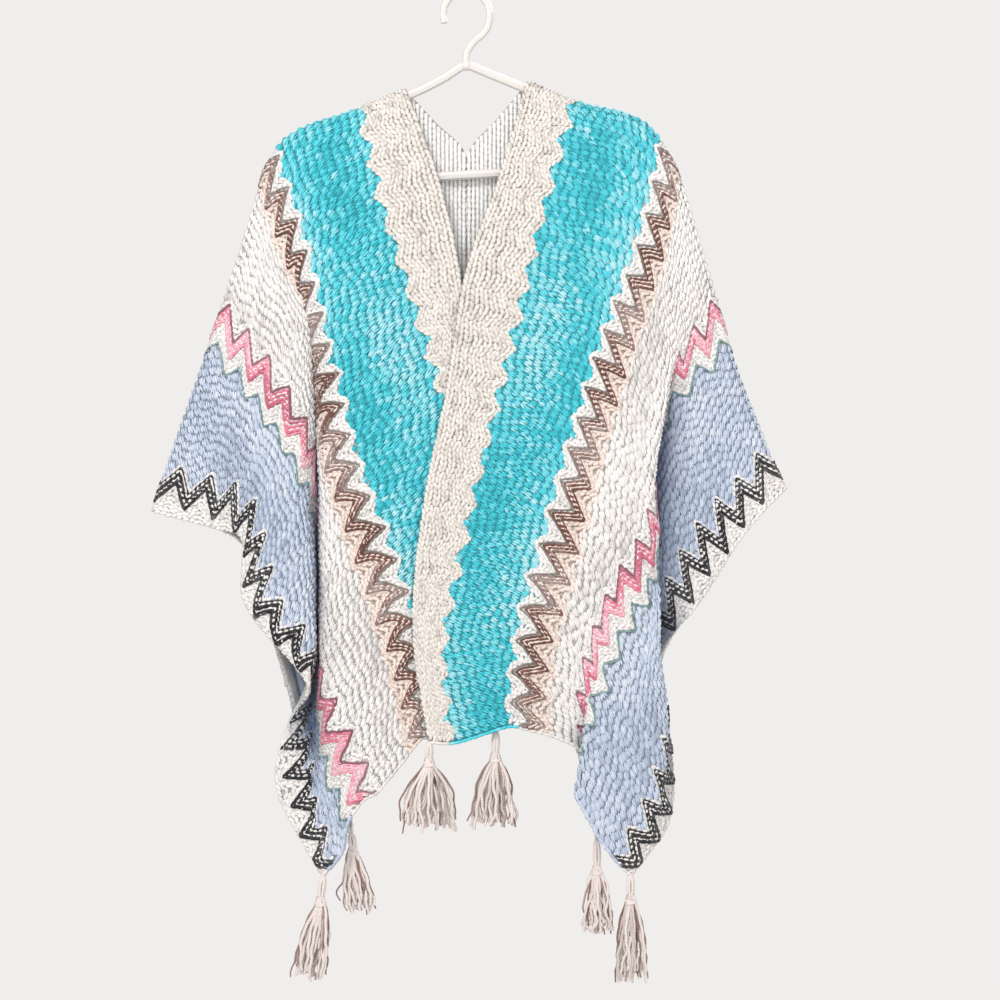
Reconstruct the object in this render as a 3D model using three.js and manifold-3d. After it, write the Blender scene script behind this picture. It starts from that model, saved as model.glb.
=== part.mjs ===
// A knitted poncho sweater on a plain plastic hanger. Two long striped panels lie over the shoulders,
// each from its front hem to its back hem in one piece. They are sewn together down the centre of the
// back and stay open in front, where the panel at +X laps over the other one. A tassel hangs from each
// free corner.
// Millimetres, +Z up, the front faces -Y. The origin is the inner top of the hanger's hook.
import * as THREE from "three";
import { mergeVertices } from "three/addons/utils/BufferGeometryUtils.js";
import Module from "manifold-3d";

const wasm = await Module();
wasm.setup();

// The knitted cloth, measured as it hangs
const PANEL_WIDTH = 520;
const PANEL_HALF_LENGTH = 747;
const WALL = 3;
// How finely the cloth is sampled: over a short step for its normals, and along each line for its length
const NORMAL_STEP = 0.5;
const LENGTH_SAMPLES = 400;
// The shoulder fold's own line holds down to this share of a half, and then gives way to the lines below
const FOLD_SHARE = 0.2;
const SEAM_GAP = 0.3;
const COLUMNS = 25;
const ROLL_STEPS = [0, 5, 10, 16];
const HANG_START = 34;
const HANG_STEPS = 19;

// The moulded hanger
const TUBE_RADIUS = 5;
const HOOK_RADIUS = 4;
const HOOK_INNER_RADIUS = 22;
const TUBE_SIDES = 8;
const TOP_DROP = 79;
const TOP_RADIUS = 6;
const HOOK_TURN = Math.PI * 1.12;
const HOOK_STEPS = 8;

// The tassels
const STRANDS = 16;
const STRAND_RADIUS = 1.25;
const STRAND_SIDES = 3;
const STRAND_STEPS = 2;
const HEAD_RADIUS = 4.6;
const BELL_RADIUS = 8.5;
const BELL_HEIGHT = 14;
const LOOP_RADIUS = 5;
const LOOP_TUBE_RADIUS = 1.3;
const CORNER_GAP = 0.4;
// The turns of the two yarn loops, how much of the lean the knot takes and how much the strands take,
// the depth of a tassel for its width, and how uneven its strands are cut
const LOOP_TURNS = [0.5, 2.1];
const KNOT_LEAN = 0.15;
const FOOT_LEAN = 0.85;
const DEPTH_SHARE = 0.6;
const UNEVEN = 0.14;
const GOLDEN_ANGLE = Math.PI * (3 - Math.sqrt(5));

// Each panel is described by the lines that run lengthwise in its knitting. A row is one such line: u is
// its distance from the panel's inner edge. fold is its place on the shoulder fold, as [x, drop], and
// roll is how far that fold rounds out to the front and to the back. front and back are the places that
// it passes on the way down to its hem, as [x, y, drop]. A drop is measured down from the hook.
const SEAM_X = SEAM_GAP / 2;

const PANEL_PLUS_X = {
  sign: 1,
  folds: [
    { u: 0, fold: [67, 97], roll: 8 },
    { u: 57, fold: [119, 119], roll: 8 },
    { u: 158, fold: [211, 158], roll: 8.5 },
    { u: 182, fold: [226, 184], roll: 9 },
    { u: 240, fold: [250, 252], roll: 9 },
    { u: 285, fold: [268, 312], roll: 9 },
    { u: 345, fold: [294, 402], roll: 9 },
    { u: 430, fold: [325, 484], roll: 9 },
    { u: 478, fold: [340, 522], roll: 9 },
    { u: 520, fold: [353, 548], roll: 8 },
  ],
  front: [
    {
      u: 0,
      line: [
        [34, -17, 211], [0, -22, 306], [-22, -26, 440],
        [-46, -30, 561], [-58, -33, 699], [-40, -33, 827],
      ],
    },
    {
      u: 57,
      line: [
        [90, -18, 228], [61, -23, 347], [30, -27, 473],
        [0, -31, 601], [-23, -34, 721], [-15, -33, 828],
      ],
    },
    {
      u: 158,
      line: [
        [185, -20, 254], [154, -26, 364], [119, -29, 481],
        [89, -32, 596], [66, -33, 710], [56, -30, 810],
      ],
    },
    {
      u: 182,
      line: [
        [204, -21, 288], [166, -27, 393], [133, -30, 500],
        [104, -33, 611], [76, -34, 717], [67, -31, 813],
      ],
    },
    {
      u: 240,
      line: [
        [222, -22, 342], [195, -30, 438], [166, -35, 540],
        [132, -37, 641], [102, -36, 735], [96, -28, 821],
      ],
    },
    {
      u: 285,
      line: [
        [231, -20, 396], [212, -34, 484], [191, -40, 581],
        [147, -40, 674], [120, -34, 762], [122, -20, 834],
      ],
    },
    {
      u: 318,
      line: [
        [226, -16, 429], [201, -6, 512], [205, -36, 602],
        [155, -42, 690], [133, -34, 778], [142, -8, 856],
      ],
    },
    {
      u: 345,
      line: [
        [226, -13, 457], [199, -3, 523], [208, -32, 611],
        [177, -43, 706], [134, -34, 784], [141, -12, 875],
      ],
    },
    {
      u: 362,
      line: [
        [237, -12, 477], [200, -3, 547], [209, -26, 635],
        [191, -43, 726], [136, -40, 805], [121, -34, 880],
      ],
    },
    {
      u: 385,
      line: [
        [246, -12, 498], [201, -6, 575], [210, -34, 665],
        [202, -43, 743], [167, -42, 834], [136, -38, 913],
      ],
    },
    {
      u: 430,
      line: [
        [273, -12, 545], [226, -12, 619], [206, -12, 704],
        [218, -34, 793], [200, -41, 880], [158, -38, 948],
      ],
    },
    {
      u: 478,
      line: [
        [290, -12, 582], [242, -14, 651], [208, -4, 735],
        [219, -20, 820], [209, -36, 902], [172, -36, 964],
      ],
    },
    {
      u: 520,
      line: [
        [304, -13, 602], [260, -16, 671], [209, 0, 740],
        [224, -8, 828], [222, -24, 911], [180, -34, 971],
      ],
    },
  ],
  back: [
    {
      u: 0,
      line: [
        [34, 12, 136], [SEAM_X, 15, 176], [SEAM_X, 18, 300], [SEAM_X, 22, 450],
        [SEAM_X, 24, 600], [SEAM_X, 24, 720], [SEAM_X, 22, 826],
      ],
    },
    {
      u: 57,
      line: [[76, 15, 204], [58, 18, 322], [56, 22, 450], [54, 25, 600], [52, 25, 715], [50, 22, 814]],
    },
    {
      u: 158,
      line: [[180, 17, 268], [160, 21, 384], [148, 25, 500], [134, 28, 620], [112, 28, 720], [88, 24, 810]],
    },
    {
      u: 250,
      line: [
        [224, 18, 350], [200, 26, 450], [186, 33, 560],
        [168, 36, 670], [140, 30, 758], [122, 14, 836],
      ],
    },
    {
      u: 318,
      line: [
        [245, 16, 425], [214, 24, 520], [196, 38, 620],
        [178, 42, 720], [150, 40, 800], [136, 20, 878],
      ],
    },
    {
      u: 385,
      line: [
        [262, 14, 500], [226, 18, 590], [204, 22, 680],
        [190, 14, 770], [166, 16, 850], [142, 10, 906],
      ],
    },
    {
      u: 430,
      line: [
        [280, 14, 540], [240, 20, 620], [212, 30, 705],
        [196, 40, 790], [172, 40, 870], [146, 22, 922],
      ],
    },
    {
      u: 520,
      line: [[302, 12, 600], [258, 16, 668], [218, 26, 738], [202, 22, 810], [184, 10, 880], [145, 4, 940]],
    },
  ],
};

const PANEL_MINUS_X = {
  sign: -1,
  folds: [
    { u: 0, fold: [-67, 105], roll: 8 },
    { u: 57, fold: [-118, 127], roll: 8 },
    { u: 158, fold: [-209, 171], roll: 8.5 },
    { u: 182, fold: [-221, 193], roll: 9 },
    { u: 215, fold: [-231, 226], roll: 9 },
    { u: 250, fold: [-247, 277], roll: 9 },
    { u: 285, fold: [-263, 326], roll: 9 },
    { u: 318, fold: [-276, 366], roll: 9 },
    { u: 385, fold: [-304, 447], roll: 9 },
    { u: 430, fold: [-321, 495], roll: 9 },
    { u: 478, fold: [-338, 546], roll: 9 },
    { u: 520, fold: [-347, 574], roll: 8 },
  ],
  front: [
    {
      u: 0,
      line: [
        [-29, -11, 209], [-3, -13, 330], [7, -17, 463],
        [17, -19, 595], [26, -20, 721], [33, -18, 816],
      ],
    },
    {
      u: 57,
      line: [
        [-95, -14, 231], [-58, -16, 348], [-23, -18, 471],
        [-13, -19, 600], [-4, -20, 721], [2, -19, 822],
      ],
    },
    {
      u: 158,
      line: [
        [-177, -18, 278], [-149, -22, 388], [-117, -24, 504],
        [-81, -23, 619], [-46, -20, 727], [-36, -18, 828],
      ],
    },
    {
      u: 182,
      line: [
        [-190, -18, 292], [-166, -12, 398], [-142, -25, 514],
        [-102, -25, 622], [-69, -22, 725], [-47, -20, 823],
      ],
    },
    {
      u: 215,
      line: [
        [-207, -17, 299], [-177, -14, 352], [-168, 4, 418], [-157, -20, 528],
        [-133, -28, 627], [-101, -26, 726], [-70, -25, 850],
      ],
    },
    {
      u: 250,
      line: [
        [-216, -18, 332], [-179, -22, 385], [-169, 4, 451], [-163, 8, 528],
        [-155, -24, 622], [-136, -32, 721], [-88, -28, 872],
      ],
    },
    {
      u: 285,
      line: [
        [-229, -18, 376], [-191, -24, 424], [-173, -12, 473], [-167, 16, 550],
        [-162, 8, 638], [-155, -22, 732], [-141, -30, 803], [-99, -28, 884],
      ],
    },
    {
      u: 318,
      line: [
        [-251, -12, 391], [-220, -24, 433], [-183, -24, 495], [-171, -4, 537],
        [-167, 20, 627], [-163, 12, 721], [-152, -24, 809], [-112, -27, 891],
      ],
    },
    {
      u: 345,
      line: [
        [-257, -8, 418], [-224, -24, 457], [-183, -24, 528], [-172, 0, 578],
        [-171, 22, 671], [-168, 14, 770], [-154, -14, 853], [-128, -27, 913],
      ],
    },
    {
      u: 385,
      line: [
        [-262, -6, 460], [-232, -26, 490], [-185, -26, 578], [-170, -8, 638],
        [-173, 22, 726], [-170, 16, 809], [-157, -12, 886], [-134, -26, 943],
      ],
    },
    {
      u: 430,
      line: [
        [-268, -6, 512], [-238, -27, 534], [-199, -28, 627], [-169, -14, 715],
        [-177, 18, 776], [-176, 4, 847], [-163, -14, 908], [-143, -25, 959],
      ],
    },
    {
      u: 478,
      line: [
        [-273, -7, 563], [-241, -27, 583], [-224, -28, 673], [-174, -16, 750],
        [-187, 8, 794], [-179, -6, 875], [-153, -23, 970],
      ],
    },
    {
      u: 520,
      line: [
        [-277, -8, 593], [-245, -26, 602], [-243, -27, 671], [-175, -14, 766],
        [-194, 6, 801], [-211, -4, 875], [-157, -21, 974],
      ],
    },
  ],
  back: [
    {
      u: 0,
      line: [
        [-34, 12, 140], [-SEAM_X, 15, 176], [-SEAM_X, 18, 300], [-SEAM_X, 22, 450],
        [-SEAM_X, 24, 600], [-SEAM_X, 24, 720], [-SEAM_X, 22, 826],
      ],
    },
    {
      u: 57,
      line: [
        [-76, 15, 208], [-58, 18, 324], [-56, 22, 450],
        [-54, 25, 600], [-52, 25, 720], [-52, 22, 826],
      ],
    },
    {
      u: 158,
      line: [
        [-180, 17, 280], [-160, 22, 390], [-148, 27, 500],
        [-134, 32, 620], [-112, 32, 725], [-92, 26, 827],
      ],
    },
    {
      u: 250,
      line: [
        [-222, 20, 355], [-200, 34, 450], [-188, 46, 560],
        [-170, 48, 670], [-142, 40, 760], [-116, 22, 846],
      ],
    },
    {
      u: 318,
      line: [
        [-245, 16, 430], [-218, 30, 520], [-198, 48, 620],
        [-180, 52, 720], [-152, 46, 800], [-124, 24, 872],
      ],
    },
    {
      u: 385,
      line: [
        [-262, 13, 500], [-228, 26, 584], [-206, 40, 676],
        [-186, 36, 770], [-156, 28, 850], [-127, 14, 896],
      ],
    },
    {
      u: 430,
      line: [
        [-278, 13, 532], [-236, 26, 598], [-208, 44, 688],
        [-189, 48, 780], [-160, 42, 860], [-130, 22, 912],
      ],
    },
    {
      u: 520,
      line: [
        [-290, 10, 588], [-247, 17, 612], [-228, 30, 676],
        [-206, 32, 752], [-173, 18, 850], [-128, 8, 933],
      ],
    },
  ],
};

// Each tassel hangs from a corner of a panel. loop is the height of its yarn loop, lean is how far its
// foot stands to the side of the corner, length is from the loop down, and spread is its half width at
// the foot.
const TASSELS = [
  {
    name: "tassel_front_inner_plus_x",
    panel: PANEL_PLUS_X,
    u: 0,
    side: "front",
    loop: 16,
    lean: 0,
    length: 82,
    spread: 30,
  },
  {
    name: "tassel_front_inner_minus_x",
    panel: PANEL_MINUS_X,
    u: 0,
    side: "front",
    loop: 24,
    lean: -5,
    length: 83,
    spread: 21,
  },
  {
    name: "tassel_front_outer_minus_x",
    panel: PANEL_MINUS_X,
    u: 520,
    side: "front",
    loop: 24,
    lean: -19,
    length: 90,
    spread: 14,
  },
  {
    name: "tassel_back_outer_minus_x",
    panel: PANEL_MINUS_X,
    u: 520,
    side: "back",
    loop: 14,
    lean: 11,
    length: 74,
    spread: 13,
  },
  {
    name: "tassel_back_outer_plus_x",
    panel: PANEL_PLUS_X,
    u: 520,
    side: "back",
    loop: 28,
    lean: 3,
    length: 76,
    spread: 11,
  },
  {
    name: "tassel_front_outer_plus_x",
    panel: PANEL_PLUS_X,
    u: 520,
    side: "front",
    loop: 22,
    lean: 2,
    length: 96,
    spread: 13,
  },
];

const FINISH = {
  knit: new THREE.MeshStandardMaterial({ color: "#e9e6e1", roughness: 0.95, metalness: 0 }),
  tassel: new THREE.MeshStandardMaterial({ color: "#ecdcd5", roughness: 0.9, metalness: 0 }),
  hanger: new THREE.MeshStandardMaterial({ color: "#f3f3f1", roughness: 0.35, metalness: 0 }),
};

const place = ([x, y, drop]) => new THREE.Vector3(x, y, -drop);

// A smooth curve through the points at the knots, which need not be evenly spaced
function along(knots, points, at) {
  let i = 0;
  while (i < knots.length - 2 && at > knots[i + 1]) {
    i += 1;
  }
  const slope = (k) => points[k + 1].clone().sub(points[k]).divideScalar(knots[k + 1] - knots[k]);
  const tangent = (k) => {
    if (k === 0) {
      return slope(0);
    }
    if (k === knots.length - 1) {
      return slope(k - 1);
    }
    const before = knots[k] - knots[k - 1];
    const after = knots[k + 1] - knots[k];
    const mixed = slope(k).multiplyScalar(before).addScaledVector(slope(k - 1), after);
    return mixed.divideScalar(before + after);
  };
  const span = knots[i + 1] - knots[i];
  const s = (at - knots[i]) / span;
  return points[i]
    .clone()
    .multiplyScalar((1 + 2 * s) * (1 - s) ** 2)
    .addScaledVector(tangent(i), span * s * (1 - s) ** 2)
    .addScaledVector(points[i + 1], s * s * (3 - 2 * s))
    .addScaledVector(tangent(i + 1), span * s * s * (s - 1));
}

// The point of the shoulder fold at u, with its roll
function foldAt(panel, u) {
  const knots = panel.folds.map((row) => row.u);
  const tips = panel.folds.map((row) => new THREE.Vector3(row.fold[0], row.roll, -row.fold[1]));
  const at = along(knots, tips, u);
  return { tip: new THREE.Vector3(at.x, 0, at.z), roll: at.y };
}

// The curve that one lengthwise line follows, from the fold over the rolled shoulder and down to the hem
function hangingCurve(panel, row, side) {
  const { tip, roll } = foldAt(panel, row.u);
  const places = row.line.map(place);
  const away = places[0].clone().sub(tip).setY(0).normalize();
  const outward = side === "front" ? -1 : 1;
  const half = Math.SQRT1_2;
  const shoulder = [1 - half, 1].map((inward, k) =>
    tip.clone().addScaledVector(away, roll * inward).setY(outward * roll * [half, 1][k]),
  );
  const curve = new THREE.CatmullRomCurve3([tip, ...shoulder, ...places], false, "centripetal");
  curve.arcLengthDivisions = LENGTH_SAMPLES;
  return curve;
}

// The middle of the cloth at u from the inner edge and v from the shoulder fold, v being positive in front
function makeClothPoint(panel) {
  const curves = {};
  for (const side of ["front", "back"]) {
    curves[side] = {
      knots: panel[side].map((row) => row.u),
      lines: panel[side].map((row) => hangingCurve(panel, row, side)),
    };
  }
  return (u, v) => {
    const { knots, lines } = curves[v < 0 ? "back" : "front"];
    const share = Math.min(1, Math.abs(v) / PANEL_HALF_LENGTH);
    const point = along(knots, lines.map((line) => line.getPointAt(share)), u);
    const start = along(knots, lines.map((line) => line.getPointAt(0)), u);
    const fade = Math.max(0, 1 - share / FOLD_SHARE) ** 2;
    point.addScaledVector(foldAt(panel, u).tip.sub(start), fade);
    if (v < 0 && point.x * panel.sign < SEAM_X) {
      point.x = SEAM_X * panel.sign;
    }
    return point;
  };
}

// A closed wall of cloth round a grid of middle points
function clothWall(panel) {
  const clothPoint = makeClothPoint(panel);
  const hang = (PANEL_HALF_LENGTH - HANG_START) / HANG_STEPS;
  const half = [...ROLL_STEPS, ...Array.from({ length: HANG_STEPS + 1 }, (_, k) => HANG_START + k * hang)];
  const lengths = [...half.slice(1).reverse().map((v) => -v), ...half];
  const widths = Array.from({ length: COLUMNS }, (_, k) => (PANEL_WIDTH * k) / (COLUMNS - 1));
  const inner = [];
  const outer = [];
  for (const v of lengths) {
    for (const u of widths) {
      const middle = clothPoint(u, v);
      const left = Math.max(0, u - NORMAL_STEP);
      const across = clothPoint(Math.min(PANEL_WIDTH, u + NORMAL_STEP), v).sub(clothPoint(left, v));
      const low = Math.max(-PANEL_HALF_LENGTH, v - NORMAL_STEP);
      const down = clothPoint(u, Math.min(PANEL_HALF_LENGTH, v + NORMAL_STEP)).sub(clothPoint(u, low));
      if (u === 0 && v < 0) {
        across.set(panel.sign, 0, 0);
      }
      const normal = across.cross(down).normalize().multiplyScalar((-panel.sign * WALL) / 2);
      outer.push(middle.clone().sub(normal));
      inner.push(middle.clone().add(normal));
    }
  }
  const points = [...outer, ...inner];
  const layer = outer.length;
  const faces = [];
  const quad = (a, b, c, d) => faces.push(a, b, c, a, c, d);
  const at = (row, column) => row * COLUMNS + column;
  const lastRow = lengths.length - 1;
  const lastColumn = COLUMNS - 1;
  for (let r = 0; r < lastRow; r += 1) {
    for (let c = 0; c < lastColumn; c += 1) {
      quad(at(r, c), at(r, c + 1), at(r + 1, c + 1), at(r + 1, c));
      quad(layer + at(r, c), layer + at(r + 1, c), layer + at(r + 1, c + 1), layer + at(r, c + 1));
    }
  }
  for (let r = 0; r < lastRow; r += 1) {
    quad(at(r, 0), at(r + 1, 0), layer + at(r + 1, 0), layer + at(r, 0));
    const upper = at(r, lastColumn);
    const lower = at(r + 1, lastColumn);
    quad(lower, upper, layer + upper, layer + lower);
  }
  for (let c = 0; c < lastColumn; c += 1) {
    quad(at(0, c + 1), at(0, c), layer + at(0, c), layer + at(0, c + 1));
    quad(at(lastRow, c), at(lastRow, c + 1), layer + at(lastRow, c + 1), layer + at(lastRow, c));
  }
  const geometry = new THREE.BufferGeometry();
  const numbers = points.flatMap((p) => [p.x, p.y, p.z]);
  geometry.setAttribute("position", new THREE.Float32BufferAttribute(numbers, 3));
  geometry.setIndex(panel.sign < 0 ? faces.reverse() : faces);
  return geometry;
}

function toSolid(geometry) {
  const plain = geometry.clone();
  plain.deleteAttribute("normal");
  plain.deleteAttribute("uv");
  const merged = mergeVertices(plain, 1e-4);
  return new wasm.Manifold(
    new wasm.Mesh({
      numProp: 3,
      vertProperties: new Float32Array(merged.attributes.position.array),
      triVerts: new Uint32Array(merged.index.array),
    }),
  );
}

function fuse(geometries) {
  const solid = geometries.map(toSolid).reduce((sum, next) => sum.add(next));
  const mesh = solid.getMesh();
  const geometry = new THREE.BufferGeometry();
  geometry.setAttribute("position", new THREE.Float32BufferAttribute(mesh.vertProperties, 3));
  geometry.setIndex([...mesh.triVerts]);
  return geometry;
}

function rod(points, radius, sides, steps) {
  const section = new THREE.Shape(
    Array.from({ length: sides }, (_, k) => {
      const angle = (2 * Math.PI * k) / sides;
      return new THREE.Vector2(radius * Math.cos(angle), radius * Math.sin(angle));
    }),
  );
  const path = new THREE.CatmullRomCurve3(points, false, "centripetal");
  return new THREE.ExtrudeGeometry(section, { steps, extrudePath: path });
}

// One moulded tube runs down an arm, round its end, along the bar and up the other arm, and the hook
// grows out of the top. The arms lie in the shoulder folds.
function makeHanger() {
  const frame = [
    [-4, TOP_DROP], [-30, 96], [-64, 112], [-130, 141], [-192, 170],
    [-205, 179], [-208, 192], [-201, 206], [-184, 211], [0, 200],
    [184, 190], [202, 184], [208, 173], [203, 164], [190, 157],
    [130, 132], [64, 104], [30, 90], [4, TOP_DROP],
  ];
  const loop = frame.map(([x, drop]) => new THREE.Vector3(x, 0, -drop));
  const bend = HOOK_INNER_RADIUS + HOOK_RADIUS;
  const turn = Array.from({ length: HOOK_STEPS + 1 }, (_, k) => {
    const angle = HOOK_TURN * (1 - k / HOOK_STEPS);
    return new THREE.Vector3(bend * Math.cos(angle), 0, bend * Math.sin(angle) - HOOK_INNER_RADIUS);
  });
  const stem = [[22, 40], [8, 53], [0, 66], [0, 82]].map(([x, drop]) => new THREE.Vector3(x, 0, -drop));
  const top = new THREE.SphereGeometry(TOP_RADIUS, 10, 6).translate(0, 0, -TOP_DROP);
  return fuse([
    rod(loop, TUBE_RADIUS, TUBE_SIDES, 38),
    rod([...turn, ...stem], HOOK_RADIUS, TUBE_SIDES, 18),
    top,
  ]);
}

// A number from 0 to 1 that looks random and is the same in each run
const scatter = (seed) => {
  const wave = Math.sin(seed * 12.9898 + 4.1) * 43758.5453;
  return wave - Math.floor(wave);
};

// A loop of yarn, a tied head that widens into a bell, and loose strands whose roots are fused in the bell
function makeTassel(tassel, order) {
  const { panel, side, loop, lean, length, spread } = tassel;
  const row = panel[side].find((line) => line.u === tassel.u);
  const corner = place(row.line.at(-1));
  const knot = new THREE.Vector3(corner.x + lean * KNOT_LEAN, corner.y, corner.z - CORNER_GAP - loop);
  const parts = [];
  for (const turn of LOOP_TURNS) {
    const ring = new THREE.TorusGeometry(LOOP_RADIUS, LOOP_TUBE_RADIUS, STRAND_SIDES, 12);
    ring.rotateX(Math.PI / 2);
    ring.scale(1, 1, loop / 2 / (LOOP_RADIUS + LOOP_TUBE_RADIUS));
    ring.rotateZ(turn);
    parts.push(ring.translate(corner.x, knot.y, knot.z + loop / 2));
  }
  const outline = [
    [0, HEAD_RADIUS],
    [HEAD_RADIUS * 0.8, HEAD_RADIUS * 0.7],
    [HEAD_RADIUS, 0],
    [HEAD_RADIUS * 0.8, -HEAD_RADIUS * 0.7],
    [BELL_RADIUS, -BELL_HEIGHT],
    [0, -BELL_HEIGHT],
  ].map(([radius, height]) => new THREE.Vector2(radius, height));
  const bell = new THREE.LatheGeometry(outline.reverse(), 6).rotateX(Math.PI / 2);
  parts.push(bell.translate(knot.x, knot.y, knot.z));
  for (let i = 0; i < STRANDS; i += 1) {
    const angle = i * GOLDEN_ANGLE + order;
    const reach = Math.sqrt((i + 0.5) / STRANDS);
    const foot = length * (1 - UNEVEN * scatter(i + 31 * order));
    const root = BELL_HEIGHT - 2;
    const at = (radius, down) =>
      new THREE.Vector3(
        knot.x + (lean * FOOT_LEAN * (down - root)) / length + radius * reach * Math.cos(angle),
        knot.y + DEPTH_SHARE * radius * reach * Math.sin(angle),
        knot.z - down,
      );
    const waist = (root + foot) / 2;
    const path = [at(BELL_RADIUS - 1.5, root), at(spread * 0.8, waist), at(spread, foot)];
    parts.push(rod(path, STRAND_RADIUS, STRAND_SIDES, STRAND_STEPS));
  }
  return fuse(parts);
}

function named(name, geometry, material) {
  const mesh = new THREE.Mesh(geometry, material);
  mesh.name = name;
  return mesh;
}

const poncho = new THREE.Group();
poncho.add(named("panel_plus_x", clothWall(PANEL_PLUS_X), FINISH.knit.clone()));
poncho.add(named("panel_minus_x", clothWall(PANEL_MINUS_X), FINISH.knit.clone()));
poncho.add(named("hanger", makeHanger(), FINISH.hanger));
TASSELS.forEach((tassel, order) => {
  poncho.add(named(tassel.name, makeTassel(tassel, order), FINISH.tassel.clone()));
});

export default poncho;
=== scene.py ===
"""The looks of a knitted poncho sweater on its hanger, laid out as a Blender add-on and run as a script.

Each panel is a thin knitted shell on the form of its solid. The bobble stitches, the cream band's rows and
the zigzag lines are real loops of yarn worked onto it, and the tassels are loose yarns."""

import math

import bpy
import numpy as np
from bpy.props import FloatProperty, FloatVectorProperty, PointerProperty
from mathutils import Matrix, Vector


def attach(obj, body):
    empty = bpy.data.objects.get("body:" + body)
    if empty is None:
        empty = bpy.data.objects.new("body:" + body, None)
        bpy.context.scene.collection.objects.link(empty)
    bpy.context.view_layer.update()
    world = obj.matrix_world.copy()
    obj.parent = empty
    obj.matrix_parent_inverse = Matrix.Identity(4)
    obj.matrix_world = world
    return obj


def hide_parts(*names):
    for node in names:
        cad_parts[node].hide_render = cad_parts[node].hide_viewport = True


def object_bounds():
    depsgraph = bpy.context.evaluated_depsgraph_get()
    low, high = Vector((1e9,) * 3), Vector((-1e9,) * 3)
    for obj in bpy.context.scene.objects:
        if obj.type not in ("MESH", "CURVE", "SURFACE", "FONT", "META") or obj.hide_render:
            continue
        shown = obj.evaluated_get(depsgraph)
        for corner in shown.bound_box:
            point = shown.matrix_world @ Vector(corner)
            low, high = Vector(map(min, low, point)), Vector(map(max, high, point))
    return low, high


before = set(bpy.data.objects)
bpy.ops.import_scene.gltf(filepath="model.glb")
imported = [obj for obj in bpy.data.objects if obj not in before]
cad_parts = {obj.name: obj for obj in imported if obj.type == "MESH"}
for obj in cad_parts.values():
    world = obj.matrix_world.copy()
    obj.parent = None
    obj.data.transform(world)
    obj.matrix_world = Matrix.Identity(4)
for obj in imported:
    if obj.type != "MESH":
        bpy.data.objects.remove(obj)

CAD_BOX = [list(corner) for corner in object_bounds()]

bl_info = {
    "name": "Knitted poncho sweater",
    "version": (1, 0, 0),
    "blender": (4, 5, 0),
    "location": "3D View > Sidebar > Poncho",
    "description": "Knits a striped poncho, ties its tassels and hangs it up",
    "category": "Object",
}

MM = 0.001
BODY = "root"

# Each panel as it hangs: its width along the shoulder fold and its length to each hem, in millimetres
PANEL_WIDTH = 520.0
HALF_LENGTH = 747.0
# It is an estimate, and it was chosen to suit the modelled cloth.
SEAM_X = 0.15
GRID_STEP = 2.0
LINE_SAMPLES = 48
# The length of a chain stitch, and how far the bobbles lean, in radians
STITCH = 6.4
LEAN = 0.58
# How many places a bobble row is measured at, and the rings and sides of a bobble's loop of yarn
ROW_SAMPLES = 24
LOOP_RINGS = 3
LOOP_SIDES = 3
# How many columns and rows of faces the ground has, and the closer rows at its shoulder fold
GROUND_COLUMNS = 53
GROUND_ROWS = 72
FOLD_ROWS = [0, 3, 6, 9, 13, 18, 25]
# How dark the ground is painted outside and inside: painted shade in the gaps between the stitches
OUTER_PAINTED_GAP_SHADE = 0.66
INNER_PAINTED_GAP_SHADE = 0.96
# The ribs inside the back beside its seam: the places of the first and the last, and how far apart they are
RIBS = (3, 100, 4.7)
# The three loops of a bobble: each one's place across it, and its shares of the length and of the swell
LOOPS = [(-2.25, 0.84, 0.55), (0.0, 1.0, 1.0), (2.25, 0.84, 0.6)]
# Painted shade: where the cloth lies deep in a fold, its colour is dimmed and cooled towards FOLD_SHADE.
# A place lies in a fold by how far the cloth beside it, up to so many cells off, stands out past a slope.
# The map of cells is as wide and as high as the garment.
FOLD_MAP = (800, 1100)
FOLD_CELL = 4.0
FOLD_REACH = 15
FOLD_SLOPE = 0.5
FOLD_DEPTH = 24.0
FOLD_SHADE = (0.2, 0.23, 0.33)
# Partly the bobble yarn's pale ply and fuller ones, partly painted light: the same side of every loop is
# painted lighter and the others darker, so the tone changes round its three sides
PLY_AND_SIDE_LIGHT_TONES = np.array([0.16, -0.12, -0.04])

# The lengthwise lines of each panel, as the part's source has them: u from the inner edge, then the fold's
# (x, drop, roll), or the places (x, y, drop) down to the hem. A drop is measured down from the hook.
FOLDS_PLUS_X = [
    (0, (67, 97, 8)),
    (57, (119, 119, 8)),
    (158, (211, 158, 8.5)),
    (182, (226, 184, 9)),
    (240, (250, 252, 9)),
    (285, (268, 312, 9)),
    (345, (294, 402, 9)),
    (430, (325, 484, 9)),
    (478, (340, 522, 9)),
    (520, (353, 548, 8)),
]

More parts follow.
